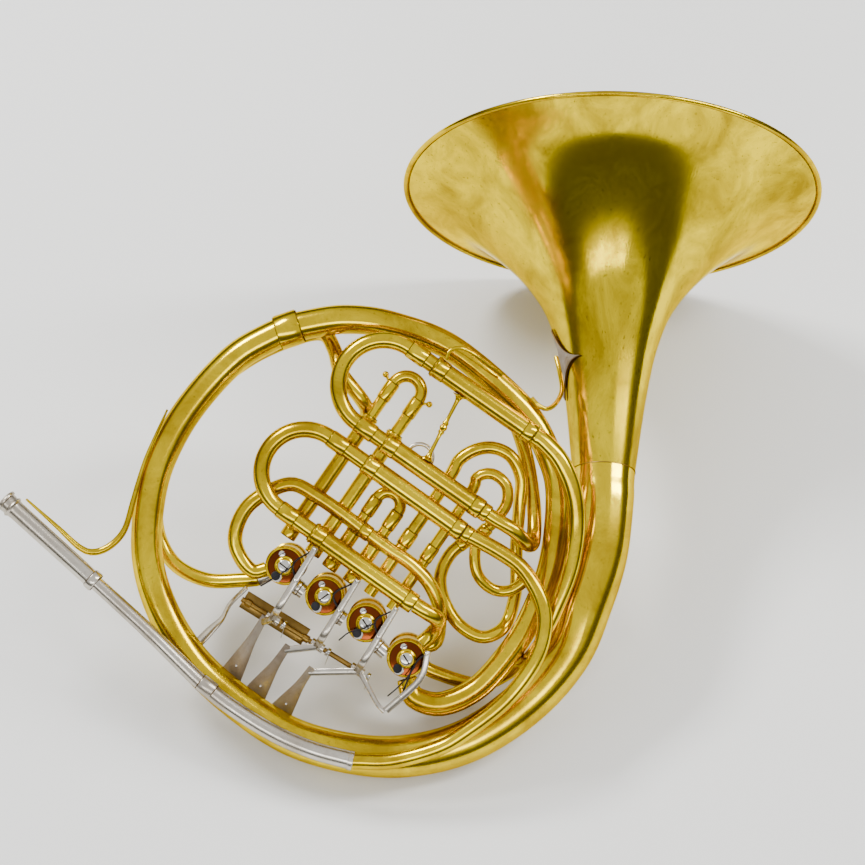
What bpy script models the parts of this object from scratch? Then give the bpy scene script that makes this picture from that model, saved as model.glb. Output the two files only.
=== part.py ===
"""A four-valve double french horn with string-worked rotary valves, resting on its side.

Every place is given in the horn's own frame in millimetres: X to the right, Y up towards the
bell and Z towards the valve caps. The horn is then leant over and set down on the floor.
"""
import math

import bmesh
import bpy
import numpy as np
from mathutils import Matrix, Vector

MM = 0.001
GAP = 0.3
WALL = 0.6
SIDES = 8
CURVE_TOLERANCE = 0.8

LEAN_DEG = 32.42
ROLL_DEG = -1.4

BELL_SEAM = Vector((121.5, -28.0, -22.0))
BELL_MOUTH = Vector((133.0, 176.5, -98.0))
BELL_RADIUS = 151.5
SEAM_RADIUS = 22.4
BEAD_RADIUS = 1.8
BELL_SIDES = 40

BELL_FLARE = [(BELL_RADIUS, 0), (118, 17), (80, 49), (52, 84), (38, 117), (29.5, 160)]

SLIDE_Z = 26.0
SLIDE_SLEEVE = 6.9
SLIDE_LEG = 5.8
VALVE_SLIDE_Z = 2.0
VALVE_SLEEVE = 5.4
VALVE_LEG = 4.3

VALVES = [(-102.0, -92.0), (-74.5, -113.0), (-46.0, -131.5), (-18.0, -156.0)]
CASING_RADIUS = 13.8
CASING_WALL = 1.8
CASING_BACK = -30.0
CASING_FRONT = 18.0
CASING_FLOOR = 3.0
PORT_LENGTH = 8.7
PLATE_RADIUS = 13.0
PLATE_THICKNESS = 3.0
SPINDLE_RADIUS = 3.0
HUB_RADIUS = 5.2
HUB_TOP = 26.5

HINGE_START = Vector((-133.0, -116.0, 6.0))
HINGE_END = Vector((-52.0, -166.0, 6.0))
HINGE_RADIUS = 1.8
SADDLE_DROP = 6.6
SADDLE_LENGTH = 52.0
SADDLE_WIDTH = 13.0
SADDLE_THICKNESS = 2.0
KNUCKLE_HEIGHT = 7.2
LEVER_THICKNESS = 1.8
GUSSET_LIFT = 1.3
GUSSET_THICKNESS = 1.2
GUSSET_WAIST = 0.55
FINGER_RING_RADIUS = 9.0
FINGER_RING_WIRE = 1.5
STRING_RADIUS = 0.4
STRING_DROP = 1.6
STRING_CLEARANCE = 1.7

RING_PIPE = 5.2
EXTENSION_PIPE = 5.6
LINK_PIPE = 5.0
VALVE_LINK_PIPE = 5.0
VALVE_LINK_SHIFT = 7.0
OUTER_LOOP_PIPE = 4.6
INNER_LOOP_PIPE = 4.1
VALVE_SLIDE_ANGLE = 55.3


def clear_scene():
    for item in list(bpy.data.objects):
        bpy.data.objects.remove(item, do_unlink=True)


def material(name, colour, roughness, metallic=1.0):
    made = bpy.data.materials.new(name)
    made.use_nodes = True
    shader = made.node_tree.nodes["Principled BSDF"]
    shader.inputs["Base Color"].default_value = (*colour, 1.0)
    shader.inputs["Roughness"].default_value = roughness
    shader.inputs["Metallic"].default_value = metallic
    return made


def finish(name, bm, look, body, pivot):
    """Turns a bmesh in horn millimetres into a named object with its origin on the pivot."""
    bmesh.ops.recalc_face_normals(bm, faces=bm.faces)
    mesh = bpy.data.meshes.new(name)
    bm.to_mesh(mesh)
    bm.free()
    mesh.transform(Matrix.Scale(MM, 4) @ Matrix.Translation(-Vector(pivot)))
    mesh.shade_smooth()
    mesh.set_sharp_from_angle(angle=math.radians(40))
    mesh.materials.append(look)
    made = bpy.data.objects.new(name, mesh)
    bpy.context.collection.objects.link(made)
    made.parent = body
    made.location = Vector(pivot) * MM
    return made


def smooth_curve(points, steps=14):
    """Catmull-Rom samples through the points; columns past the third ride along."""
    p = np.array(points, float)
    if len(p) == 2:
        return p
    p = np.vstack([2 * p[0] - p[1], p, 2 * p[-1] - p[-2]])
    samples = []
    for a, b, c, d in zip(p, p[1:], p[2:], p[3:]):
        for t in np.arange(steps) / steps:
            samples.append(
                0.5 * (2 * b + (c - a) * t + (2 * a - 5 * b + 4 * c - d) * t * t
                       + (3 * b - a - 3 * c + d) * t ** 3)
            )
    return np.array(samples + [p[-2]])


def thin_out(samples, tolerance=CURVE_TOLERANCE):
    """Drops samples that lie within the tolerance of a straight run between their neighbours."""
    first, last = samples[0], samples[-1]
    run = last - first
    length = np.linalg.norm(run)
    if len(samples) < 3:
        return samples
    if length < 1e-6:
        off = np.linalg.norm(samples - first, axis=1)
    else:
        along = np.clip((samples - first) @ run / length ** 2, 0, 1)
        off = np.linalg.norm(samples - first - along[:, None] * run, axis=1)
    worst = int(np.argmax(off))
    if off[worst] < tolerance:
        return np.array([first, last])
    return np.vstack([thin_out(samples[:worst + 1], tolerance)[:-1],
                      thin_out(samples[worst:], tolerance)])


def frames(path):
    """Tangent, side and up at each station; up starts near +Z and is carried along."""
    ahead = np.gradient(path, axis=0)
    up = Vector((0, 0, 1))
    result = []
    for station, step in zip(path, ahead):
        tangent = Vector(step).normalized()
        up = up - up.dot(tangent) * tangent
        if up.length < 1e-3:
            up = Vector((0, 1, 0)) - Vector((0, 1, 0)).dot(tangent) * tangent
        up.normalize()
        result.append((Vector(station), tangent.cross(up), up))
    return result


def ring_of(bm, frame, radius, sides):
    centre, side, up = frame
    radius = float(radius)
    turn = math.tau / sides
    return [bm.verts.new(centre + radius * (math.cos((k + 0.5) * turn) * side
                                            + math.sin((k + 0.5) * turn) * up))
            for k in range(sides)]


def join_rings(bm, a, b):
    for k in range(len(a)):
        n = (k + 1) % len(a)
        bm.faces.new((a[k], a[n], b[n], b[k]))


def sampled(points, radius):
    """A thinned centre line and its radii, from control points that may carry a fourth value."""
    p = np.array([tuple(q) for q in points], float)
    if p.shape[1] == 3:
        p = np.column_stack([p, np.full(len(p), radius)])
    p = thin_out(smooth_curve(p))
    return p[:, :3], p[:, 3]


def pipe(name, path, radii, look, body, pivot, sides=SIDES):
    """An open-ended pipe with a ring at each place on the path."""
    bm = bmesh.new()
    outer, inner = [], []
    for frame, r in zip(frames(path), radii):
        outer.append(ring_of(bm, frame, r, sides))
        inner.append(ring_of(bm, frame, r - WALL, sides))
    for rings in (outer, inner):
        for a, b in zip(rings, rings[1:]):
            join_rings(bm, a, b)
    join_rings(bm, outer[0], inner[0])
    join_rings(bm, outer[-1], inner[-1])
    return finish(name, bm, look, body, pivot)


def tube(name, points, radius, look, body, pivot=(0, 0, 0), sides=SIDES):
    """A smooth open-ended pipe; a fourth value on each point is the radius there."""
    path, radii = sampled(points, radius)
    return pipe(name, path, radii, look, body, pivot, sides)


def rod(name, points, radius, look, body, pivot=(0, 0, 0), sides=6):
    """A solid wire or bar of round section."""
    path, radii = sampled(points, radius)
    bm = bmesh.new()
    rings = [ring_of(bm, f, r, sides) for f, r in zip(frames(path), radii)]
    for a, b in zip(rings, rings[1:]):
        join_rings(bm, a, b)
    bm.faces.new(rings[0])
    bm.faces.new(rings[-1])
    return finish(name, bm, look, body, pivot)


def squared_to(across, path):
    """Frames whose side stays as near as it can to one given direction."""
    result = []
    for station, step in zip(path, np.gradient(path, axis=0)):
        tangent = Vector(step).normalized()
        side = (across - across.dot(tangent) * tangent).normalized()
        result.append((Vector(station), side, side.cross(tangent)))
    return result


def strip(name, points, thickness, look, body, pivot=(0, 0, 0), across=None):
    """A flat bar; the fourth value on each point is the width there, measured across if given."""
    path, widths = sampled(points, 0)
    bm = bmesh.new()
    rings = []
    stations = squared_to(across, path) if across else frames(path)
    for (centre, side, up), width in zip(stations, widths.tolist()):
        rings.append([bm.verts.new(centre + u * side * width / 2 + v * up * thickness / 2)
                      for u, v in ((-1, -1), (1, -1), (1, 1), (-1, 1))])
    for a, b in zip(rings, rings[1:]):
        join_rings(bm, a, b)
    bm.faces.new(rings[0])
    bm.faces.new(rings[-1])
    return finish(name, bm, look, body, pivot)


def turned(name, outline, look, body, at=(0, 0, 0), axis=(0, 0, 1), sides=24, hollow=False):
    """Spins an outline of (radius, height) about the axis; a hollow outline closes on itself."""
    turn = Vector((0, 0, 1)).rotation_difference(Vector(axis)).to_matrix()
    bm = bmesh.new()
    rings = []
    for radius, height in outline:
        rings.append([bm.verts.new(Vector(at) + turn @ Vector((
            radius * math.cos(k * math.tau / sides), radius * math.sin(k * math.tau / sides), height)))
            for k in range(sides)])
    for a, b in zip(rings, rings[1:]):
        join_rings(bm, a, b)
    if hollow:
        join_rings(bm, rings[-1], rings[0])
    else:
        bm.faces.new(rings[0])
        bm.faces.new(rings[-1])
    return finish(name, bm, look, body, at)


def hinge_frame(name, parent):
    """An empty on a joint's axis that carries the pieces of one moving body."""
    made = bpy.data.objects.new(name, None)
    bpy.context.collection.objects.link(made)
    made.parent = parent
    return made


clear_scene()
BRASS = material("brass", (0.62, 0.42, 0.10), 0.30)
BELL_BRASS = material("bell_brass", (0.60, 0.41, 0.12), 0.38)
NICKEL = material("nickel_silver", (0.52, 0.50, 0.45), 0.32)
DARK = material("dark_fitting", (0.20, 0.13, 0.05), 0.5)
STRING = material("string", (0.02, 0.02, 0.02), 0.9, 0.0)

horn = hinge_frame("horn", None)


# --- the bell and the long taper ---

def bell():
    """The flare: steep at the mouth, long and narrow towards the seam."""
    length = (BELL_MOUTH - BELL_SEAM).length
    outline = BELL_FLARE + [(SEAM_RADIUS, length)]
    curve = thin_out(smooth_curve([(r, h, 0) for r, h in outline]))
    outer = [(r, length - h) for r, h, _ in curve]
    inner = [(r - WALL, h) for r, h in outer]
    axis = (BELL_MOUTH - BELL_SEAM).normalized()
    turned("bell_flare", outer + inner[::-1], BELL_BRASS, horn, BELL_SEAM, axis, BELL_SIDES, True)
    bead = [(BELL_RADIUS + GAP + BEAD_RADIUS * (1.1 - math.cos(math.tau * k / 6)),
             BEAD_RADIUS * math.sin(math.tau * k / 6)) for k in range(6)]
    turned("bell_rim_bead", bead, BRASS, horn, BELL_MOUTH, axis, BELL_SIDES, True)


def on_bell(from_mouth, turn_deg, lift):
    """A place over the bell's outside, by distance from the mouth and turn about its axis."""
    axis = (BELL_MOUTH - BELL_SEAM).normalized()
    front = (Vector((0, 0, 1)) - axis.z * axis).normalized()
    side = axis.cross(front)
    distances = [h for r, h in BELL_FLARE] + [(BELL_MOUTH - BELL_SEAM).length]
    radii = [r for r, h in BELL_FLARE] + [SEAM_RADIUS]
    radius = float(np.interp(from_mouth, distances, radii)) + lift
    turn = math.radians(turn_deg)
    outward = math.cos(turn) * front + math.sin(turn) * side
    return BELL_MOUTH - axis * from_mouth + outward * radius


def main_spiral():
    """From the seam round the bottom and the left to the ferrule, then over the top to valve four."""
    back = -(BELL_MOUTH - BELL_SEAM).normalized()
    tail = [(*(BELL_SEAM + back * 2 * GAP), SEAM_RADIUS), (*(BELL_SEAM + back * 10), 22),
            (120.5, -50, -13.5, 21.6), (116.5, -85, -3, 20.4), (107.5, -118, 1, 19),
            (94.5, -154, 1, 17), (67, -187, 0, 16.4), (30, -213, 0, 15.5), (-8, -225, 0, 15),
            (-48, -226, 0, 14.4), (-96, -214, 0, 13.6), (-136, -189, 0, 12.8), (-168, -159, 0, 12),
            (-190, -122, 0, 11.4), (-200, -83, 0, 10.9), (-196, -38, 0, 10.7), (-183, -4, 0, 10.6),
            (-163, 26, 0, 10.5), (-137, 53, 0, 10.5), (-112, 67.5, 0, 10.5), (-101.5, 71.6, 0, 10.5)]
    tube("bell_tail", tail, 0, BRASS, horn, sides=12)
    branch = [(-99, 72.5, 0, 10.3), (-90, 75.1, 0, 10.3), (-66, 79, 0, 10.3), (-42, 78, 0, 10),
              (-21, 73, 0, 9.8), (0, 66, 0, 9.6), (18, 56, 0, 9.5), (43, 36, 0, 9.4), (66, 13, 0, 9.3),
              (80, -12, 0, 9.2), (88, -42, 0, 9.1), (83, -91, 0, 8.8), (68, -131, 0, 8.6),
              (53, -155, 0, 8.6), (31, -179, 0, 8.6), (6, -190, 0, 8.6), (-13, -185, 0, 8),
              (-18, -172.5, 0, 7)]
    tube("main_branch", branch, 0, BRASS, horn, sides=10)
    turned("tail_ferrule", [(11.5, -8), (12.7, -8), (12.7, 8), (11.5, 8)], BRASS, horn,
           (-100.5, 71.9, 0), (1, 0.34, 0), 16, True)


# --- mouthpipe ---

def mouthpipe():
    """Receiver, mouthpipe, its long stay, and the tube that carries it round to the main slide."""
    mouth, joint = Vector((-296, -46, 20)), Vector((-232, -104, 21))
    axis = (joint - mouth).normalized()
    length = (joint - mouth).length
    receiver = [(6.9, 0), (8.2, 0.8), (8.2, 2.6), (7, 3.4), (7, 7), (8, 8), (7, 9), (6.4, 12),
                (6.2, length - 6), (7, length - 5), (7, length), (5.6, length), (3.4, length - 20), (4.6, 0)]
    turned("mouthpiece_receiver", receiver, NICKEL, horn, mouth, axis, 14, True)
    start = joint + axis * GAP
    route = [(*start, 5), (-196, -137, 22, 5.2), (-159, -173, 22, 5.6), (-136, -191, 22.5, 5.8),
             (-108, -208, 23, 6), (-82, -219, 23.5, 6.2), (-56, -226, 24, 6.4)]
    tube("mouthpipe", route, 0, NICKEL, horn)
    onward = [(-54.6, -226.3, 24), (-28, -226, 25), (4, -217, 27), (24, -205, 29), (50, -184, 31),
              (70, -157, 32), (77, -133, 31), (74, -114, 29), (62, -94, 27), (46, -82, 26), (23.5, -69.6, 26)]
    tube("mouthpipe_extension", onward, EXTENSION_PIPE, BRASS, horn)
    stay = [(-281, -46, 18, 0.8), (-260, -65, 17, 1.6), (-244, -80, 15, 2.2), (-234, -83, 12, 2.5),
            (-223, -78, 10, 2.5), (-214, -67, 9, 2.3), (-208.5, -48, 8.6, 2), (-204, -32, 8.6, 1.7),
            (-198, -14, 8.6, 1.3), (-184.5, 16, 8.6, 0.8)]
    rod("mouthpipe_stay", stay, 0, BRASS, horn)


# --- slides of the main tubing ---

def along(centre, angle, run, across, z):
    """A place at a run and an offset from a slide's centre, for a slide lying at an angle."""
    turn = math.radians(angle)
    return (centre[0] + run * math.cos(turn) - across * math.sin(turn),
            centre[1] + run * math.sin(turn) + across * math.cos(turn), z)


def hairpin(centre, angle, legs_end, bend_at, half, z, steps=8):
    """Leg, half turn and leg of a crook whose bend lies at bend_at along the slide."""
    side = 1 if bend_at > legs_end else -1
    turn = [along(centre, angle, bend_at + side * half * math.sin(math.pi * k / steps),
                  half * math.cos(math.pi * k / steps), z) for k in range(steps + 1)]
    return [along(centre, angle, legs_end, half, z)] + turn + [along(centre, angle, legs_end, -half, z)]


def straight_tube(name, points, radius, look, body, pivot=(0, 0, 0)):
    """A pipe through the points as they are, so that legs stay exactly straight."""
    return pipe(name, np.array(points, float), [radius] * len(points), look, body, pivot)


def slide(name, centre, angle, sleeves, legs_end, bend_at, half, z, radii):
    """Two fixed sleeves and the crook that pulls out of them."""
    sleeve, leg = radii
    for label, across, (low, high) in zip(("upper", "lower"), (half, -half), sleeves):
        ends = [along(centre, angle, low, across, z), along(centre, angle, high, across, z)]
        straight_tube(f"{name}_{label}_sleeve", ends, sleeve, BRASS, horn)
    carrier = hinge_frame(f"{name}_frame", horn)
    straight_tube(f"{name}_crook", hairpin(centre, angle, legs_end, bend_at, half, z), leg, BRASS,
                  carrier, along(centre, angle, bend_at, 0, z))


def port(number, angle, z):
    """The last two places of a pipe that meets a valve's casing square on."""
    x, y = VALVES[number - 1]
    turn = math.radians(angle)
    return [(x + r * math.cos(turn), y + r * math.sin(turn), z)
            for r in (CASING_RADIUS + PORT_LENGTH, CASING_RADIUS + 2 * GAP)]


def main_slides():
    slide("main_slide", (-30, -69), -35.5, ((-41, 40.6), (-43, 42.7)), 30, -71, 29.9, SLIDE_Z,
          (SLIDE_SLEEVE, SLIDE_LEG))
    slide("horn_slide", (18, -4), -35, ((-42, 41), (-40, 41)), 30, -63, 31.4, SLIDE_Z,
          (SLIDE_SLEEVE, SLIDE_LEG))
    tube("main_slide_elbow", [(-12.1, -118.4, 26), (-4, -123.6, 25.5), (3.5, -129, 21), (3.5, -135, 14)]
         + port(4, 42, 10), EXTENSION_PIPE, BRASS, horn)
    down = [(70.4, -2.3, 26, 6.4), (77.5, -7.6, 26, 6.6), (88, -20, 26, 6.6), (97, -41, 24, 6.6),
            (99.5, -66, 21, 6.4), (95, -96, 20, 6), (85, -123, 18.5, 5.2), (77, -141, 16, 4.2),
            (67.4, -156, 4, 3.7), (62, -163, -11, 3.9), (52, -172, -19, 4.5), (32, -179, -22, 4.8)]
    tube("slide_down_tube", down + [(*p, 5) for p in port(4, -37, -21)], 0, BRASS, horn)
    tube("return_tube", [(34.3, -53.7, 26), (42, -59, 26), (56, -67.5, 25), (67, -78, 15), (71, -72, 1),
                         (71, -48, -10), (65, -12, -14), (52, 22, -18), (38, 40, -21), (12, 58, -22),
                         (-20, 70, -21), (-52, 76, -20)], RING_PIPE, BRASS, horn)
    tube("valve_one_bow", port(1, 192, 10)[::-1] + [(-131.5, -90, 11), (-137, -77, 12), (-135, -63, 13),
                                                   (-127, -50, 13), (-112, -40, 13), (-96, -36, 13),
                                                   (-79, -45, 13), (-63, -56, 13), (-46.8, -68.6, 13)],
         RING_PIPE, BRASS, horn)
    tube("valve_four_link", [(-46, -69.3, 13), (-30, -81, 13), (-15, -91, 12.5), (-3, -104, 11.5),
                             (4, -119, 8), (5, -132, 2)] + port(4, 24, -5), LINK_PIPE, BRASS, horn)
    tube("valve_one_inlet", port(1, 208, -8)[::-1] + [(-134, -104, -10), (-160, -104, -14), (-184, -92, -20),
                             (-196, -66, -22), (-193, -30, -22), (-178, 2, -22), (-158, 30, -22),
                             (-130, 52, -22), (-100, 66, -22), (-78, 70, -20), (-69, 58, -8),
                             (-64, 42, 4), (-50, 24, 5)], RING_PIPE, BRASS, horn)


# --- rotary valves ---

def valves():
    """Cup-shaped casings, front plates, and rotors that carry a slotted hub on their spindle."""
    bore = CASING_RADIUS - CASING_WALL
    for number, (x, y) in enumerate(VALVES, 1):
        at = (x, y, 0)
        floor = CASING_BACK + CASING_FLOOR
        casing = [(CASING_RADIUS, CASING_BACK), (CASING_RADIUS, CASING_FRONT), (bore, CASING_FRONT),
                  (bore, floor), (bore - CASING_FLOOR, floor), (bore - CASING_FLOOR, CASING_BACK)]
        turned(f"valve_{number}_casing", casing, BRASS, horn, at, sides=20, hollow=True)
        top = CASING_FRONT + GAP
        plate = [(PLATE_RADIUS, top), (PLATE_RADIUS, top + PLATE_THICKNESS),
                 (SPINDLE_RADIUS + GAP, top + PLATE_THICKNESS), (SPINDLE_RADIUS + GAP, top)]
        turned(f"valve_{number}_plate", plate, DARK, horn, at, sides=20, hollow=True)
        carrier = hinge_frame(f"rotor_{number}_frame", horn)
        body = bore - GAP
        shoulder = CASING_FRONT - GAP
        hub = top + PLATE_THICKNESS + GAP
        rotor = [(body, floor + GAP), (body, shoulder), (SPINDLE_RADIUS, shoulder),
                 (SPINDLE_RADIUS, hub), (HUB_RADIUS, hub), (HUB_RADIUS, HUB_TOP)]
        turned(f"valve_{number}_rotor", rotor, BRASS, carrier, at, sides=20)
    for number, ((ax, ay), (bx, by)) in enumerate(zip(VALVES, VALVES[1:]), 1):
        a, b = Vector((ax, ay, 8)), Vector((bx, by, 8))
        step = (b - a).normalized()
        shift = Vector((-0.58, -0.81, 0)) * VALVE_LINK_SHIFT
        reach = math.sqrt(CASING_RADIUS ** 2 - (VALVE_LINK_SHIFT - VALVE_LINK_PIPE) ** 2) + 2 * GAP
        ends = [a + shift + step * reach, b + shift - step * reach]
        tube(f"valve_link_{number}", ends, VALVE_LINK_PIPE, NICKEL, horn)


def valve_slides():
    x, y = VALVES[0]
    slide("valve_1_slide", (x, y), VALVE_SLIDE_ANGLE, ((16, 118), (16, 118)), 55, 147, 10.5,
          VALVE_SLIDE_Z, (VALVE_SLEEVE, VALVE_LEG))
    x, y = VALVES[1]
    slide("valve_2_slide", (x, y), VALVE_SLIDE_ANGLE, ((16, 56), (16, 56)), 30, 76, 8.8, VALVE_SLIDE_Z,
          (VALVE_SLEEVE, VALVE_LEG))
    x, y = VALVES[2]
    start = [along((x, y), VALVE_SLIDE_ANGLE, run, 9.2, VALVE_SLIDE_Z) for run in (16, 108)]
    outer = start + [(20, -18, 2), (38, -10.5, 3), (54, -16, 3), (62, -32, 0), (61, -52, -4), (59, -80, -7),
             (59, -108, -10), (54, -130, -8), (46, -140, -2), (33, -143, 0), (18, -134, -2), (8, -118, -4),
             (5.5, -101, -4), (12, -86, -4), (22, -77, -3)]
    tube("valve_3_outer_loop", outer, OUTER_LOOP_PIPE, BRASS, horn)
    start = [along((x, y), VALVE_SLIDE_ANGLE, run, -9.2, VALVE_SLIDE_Z) for run in (16, 110)]
    inner = start + [(31, -31.5, 3), (42, -29, 5), (51.5, -37, 6), (51.5, -50, 6), (43, -62, 6), (33, -72, 7),
             (29.5, -84, 7), (31, -98, 6), (38, -107, 3), (46.5, -111, 0)]
    tube("valve_3_inner_loop", inner, INNER_LOOP_PIPE, BRASS, horn)


# --- levers ---

def string(number, tip, foot, carrier, pivot):
    """The string of one valve: from the lever's tip round its rotor hub and back to the lever."""
    x, y = VALVES[number - 1]
    hub = Vector((x, y, HUB_TOP - STRING_DROP))
    beside = (tip.lerp(foot, 0.3) - hub) * Vector((1, 1, 0))
    wrap = hub + beside.normalized() * (HUB_RADIUS + STRING_CLEARANCE)
    under = Vector((0, 0, -STRING_DROP))
    rod(f"valve_{number}_string", [tip.lerp(foot, 0.05) + under, wrap, tip.lerp(foot, 0.9) + under],
        STRING_RADIUS, STRING, carrier, pivot, 5)


def levers():
    """Three finger levers and the thumb lever on one rod, with the saddle plate under it."""
    along_rod = (HINGE_END - HINGE_START).normalized()
    rod("hinge_rod", [HINGE_START, HINGE_END], HINGE_RADIUS, DARK, horn, sides=10)
    under = Vector((0, 0, -SADDLE_DROP))
    saddle = [(*(HINGE_START + under + along_rod * run), SADDLE_WIDTH) for run in (1, SADDLE_LENGTH)]
    strip("hinge_saddle", saddle, SADDLE_THICKNESS, DARK, horn)
    tips = [(-80, -79, 30.5), (-51, -101, 30.5), (-24.5, -120, 30.5)]
    keys = [[(-121.5, -144.5, 2, 7), (-141, -171, -17, 15), (-148, -181, -19, 17), (-151, -186, -20, 10)],
            [(-103, -158, 3, 7), (-127, -184, -18.5, 15), (-134, -193, -20, 17), (-138, -199, -21, 10)],
            [(-79, -178, 3, 7), (-107, -199, -19.5, 15), (-112, -206, -20.5, 17), (-116, -212, -21.5, 10)]]
    for number, (tip, key) in enumerate(zip(tips, keys), 1):
        carrier = hinge_frame(f"lever_{number}_frame", horn)
        away = Vector(tip) - HINGE_START
        pivot = HINGE_START + along_rod * away.dot(along_rod)
        knuckle = (*(pivot + Vector((0, 0, KNUCKLE_HEIGHT))), 5)
        tip = Vector(tip)
        middle = tip.lerp(Vector((*knuckle[:2], tip.z)), 0.5)
        bend = tip.lerp(Vector((*knuckle[:2], tip.z - 2)), 0.84)
        bar = [(*tip, 4), (*middle, 4.6), (*bend, 5.2), knuckle]
        strip(f"lever_{number}", bar + key, LEVER_THICKNESS, NICKEL, carrier, pivot, along_rod)
        string(number, tip, middle, carrier, pivot)
    carrier = hinge_frame("thumb_lever_frame", horn)
    pivot = HINGE_START - along_rod * 4
    paddle = [(*(pivot + Vector((7, 6, 1))), 5), (*(pivot + Vector((-5, -6, -3))), 5),
              (-150, -134, -10, 5), (-161, -143, -16, 12), (-170, -151, -18, 9)]
    strip("thumb_lever", paddle, LEVER_THICKNESS, NICKEL, carrier, pivot)
    carrier = hinge_frame("valve_four_arm_frame", horn)
    pivot = HINGE_END + along_rod * 2
    tip, foot = Vector((-3, -150, 30.5)), Vector((-24, -186, 22))
    arm = [(*tip, 4), (-8, -164, 29, 4), (*foot, 4), (*(pivot + Vector((4, -14, 9))), 4),
           (*(pivot + Vector((1, -1, 3.8))), 4)]
    strip("valve_four_arm", arm, LEVER_THICKNESS, NICKEL, carrier, pivot)
    string(4, tip, foot, carrier, pivot)


# --- braces and small fittings ---

def braces():
    """The gusset and wires by the bell, the turned post between the slides and the finger ring."""
    tips = [(113, -86), (141, -38), (166, -82)]
    centre = np.mean(tips, axis=0)
    rim = []
    for a, b in zip(np.array(tips, float), np.array(tips[1:] + tips[:1], float)):
        waist = centre + ((a + b) / 2 - centre) * GUSSET_WAIST
        rim += [a, (a + 2 * waist + b) / 4 + (a - b) / 8, (a + 2 * waist + b) / 4 + (b - a) / 8]
    gusset = bmesh.new()
    layers = []
    for lift in (GUSSET_LIFT, GUSSET_LIFT + GUSSET_THICKNESS):
        layers.append(([gusset.verts.new(on_bell(*place, lift)) for place in rim],
                       gusset.verts.new(on_bell(*centre, lift))))
    for ring, hub in layers:
        for k in range(len(ring)):
            gusset.faces.new((ring[k], ring[(k + 1) % len(ring)], hub))
    join_rings(gusset, layers[0][0], layers[1][0])
    finish("bell_gusset", gusset, NICKEL, horn, (0, 0, 0))
    rod("bell_brace", [(88.6, 54, -35.5), (90.5, 44, -29), (91.5, 30, -16), (86.5, 20.5, -3), (79.9, 16.4, 5),
                       (73.4, 19.1, 8), (69, 24, 7)], 1.6, BRASS, horn)
    rod("upper_stay", [(9, 50, 28, 1.4), (12, 56, 28, 1.4), (19, 58, 27, 1.5), (28, 54, 24, 1.6),
                       (38, 47, 18, 1.8), (48, 40, 12, 1.8)], 0, BRASS, horn)
    start, end = Vector((22, 31.5, SLIDE_Z)), Vector((-7, -24.8, SLIDE_Z))
    run = (end - start).length
    profile = [(5, 7.4), (2.2, 9), (2, run / 2 - 5), (3.6, run / 2), (2, run / 2 + 5), (2.2, run - 9),
               (5, run - 7.4)]
    turned("turned_brace", profile, BRASS, horn, start, end - start, 10)
    hoop = [(FINGER_RING_RADIUS + FINGER_RING_WIRE * math.cos(math.tau * k / 6),
             FINGER_RING_WIRE * math.sin(math.tau * k / 6)) for k in range(6)]
    turned("finger_ring", hoop, NICKEL, horn, (-9, -17, 17), (0, 0, 1), 20, True)


def set_down():
    """Leans the horn onto its bell rim, tail and third key, over the middle of its own footprint."""
    horn.rotation_euler = (math.radians(LEAN_DEG), math.radians(ROLL_DEG), 0)
    bpy.context.view_layer.update()
    spots = np.array([tuple(piece.matrix_world @ vertex.co) for piece in bpy.data.objects
                      if piece.type == "MESH" for vertex in piece.data.vertices])
    low, high = spots.min(axis=0), spots.max(axis=0)
    horn.location = (-(low[0] + high[0]) / 2, -(low[1] + high[1]) / 2, -low[2])


bell()
main_spiral()
mouthpipe()
main_slides()
valves()
valve_slides()
levers()
braces()
set_down()
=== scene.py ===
"""A four-valve double french horn lying on its bell rim: tubing, fittings, materials, light and camera.

Places are in the horn's own frame in millimetres: X to the right, Y up towards the bell and Z
towards the valve caps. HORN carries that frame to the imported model's frame.
"""
import math

import bpy
import numpy as np
from mathutils import Euler, Matrix, Vector


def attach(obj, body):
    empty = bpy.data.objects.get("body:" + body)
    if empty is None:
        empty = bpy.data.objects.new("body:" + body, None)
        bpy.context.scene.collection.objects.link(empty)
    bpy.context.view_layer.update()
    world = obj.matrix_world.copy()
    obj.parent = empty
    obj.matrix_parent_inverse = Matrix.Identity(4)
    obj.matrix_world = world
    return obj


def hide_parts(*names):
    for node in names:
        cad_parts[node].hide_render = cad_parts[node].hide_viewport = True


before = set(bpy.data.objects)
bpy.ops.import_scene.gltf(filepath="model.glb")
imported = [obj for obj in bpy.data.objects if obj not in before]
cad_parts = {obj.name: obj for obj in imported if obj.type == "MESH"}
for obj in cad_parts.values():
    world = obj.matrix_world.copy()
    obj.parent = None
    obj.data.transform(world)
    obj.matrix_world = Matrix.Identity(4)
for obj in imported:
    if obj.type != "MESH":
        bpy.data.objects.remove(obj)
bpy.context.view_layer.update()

MM = 0.001
GAP = 0.3
WALL = 0.6
LIP_DEPTH = 4
CROOK_BAND = 13.0
TUBE_SIDES = 28
FERRULE_SIDES = 40
BELL_SIDES = 160
STEP = 4.0

LEAN = math.radians(32.42)
ROLL = math.radians(-1.4)
REST = Matrix.Translation((0.0063282, -0.0130781, 0.1366953))
HORN = REST @ Euler((LEAN, ROLL, 0)).to_matrix().to_4x4()

BELL_SEAM = Vector((121.5, -28.0, -22.0))
BELL_MOUTH = Vector((133.0, 176.5, -98.0))
BELL_AXIS = (BELL_MOUTH - BELL_SEAM).normalized()
BELL_RADIUS = 151.5
SEAM_RADIUS = 22.4
BEAD_RADIUS = 1.8

BELL_FLARE = [(BELL_RADIUS, 0), (118, 17), (80, 49), (52, 84), (38, 117), (29.5, 160),
              (SEAM_RADIUS, (BELL_MOUTH - BELL_SEAM).length)]

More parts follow.
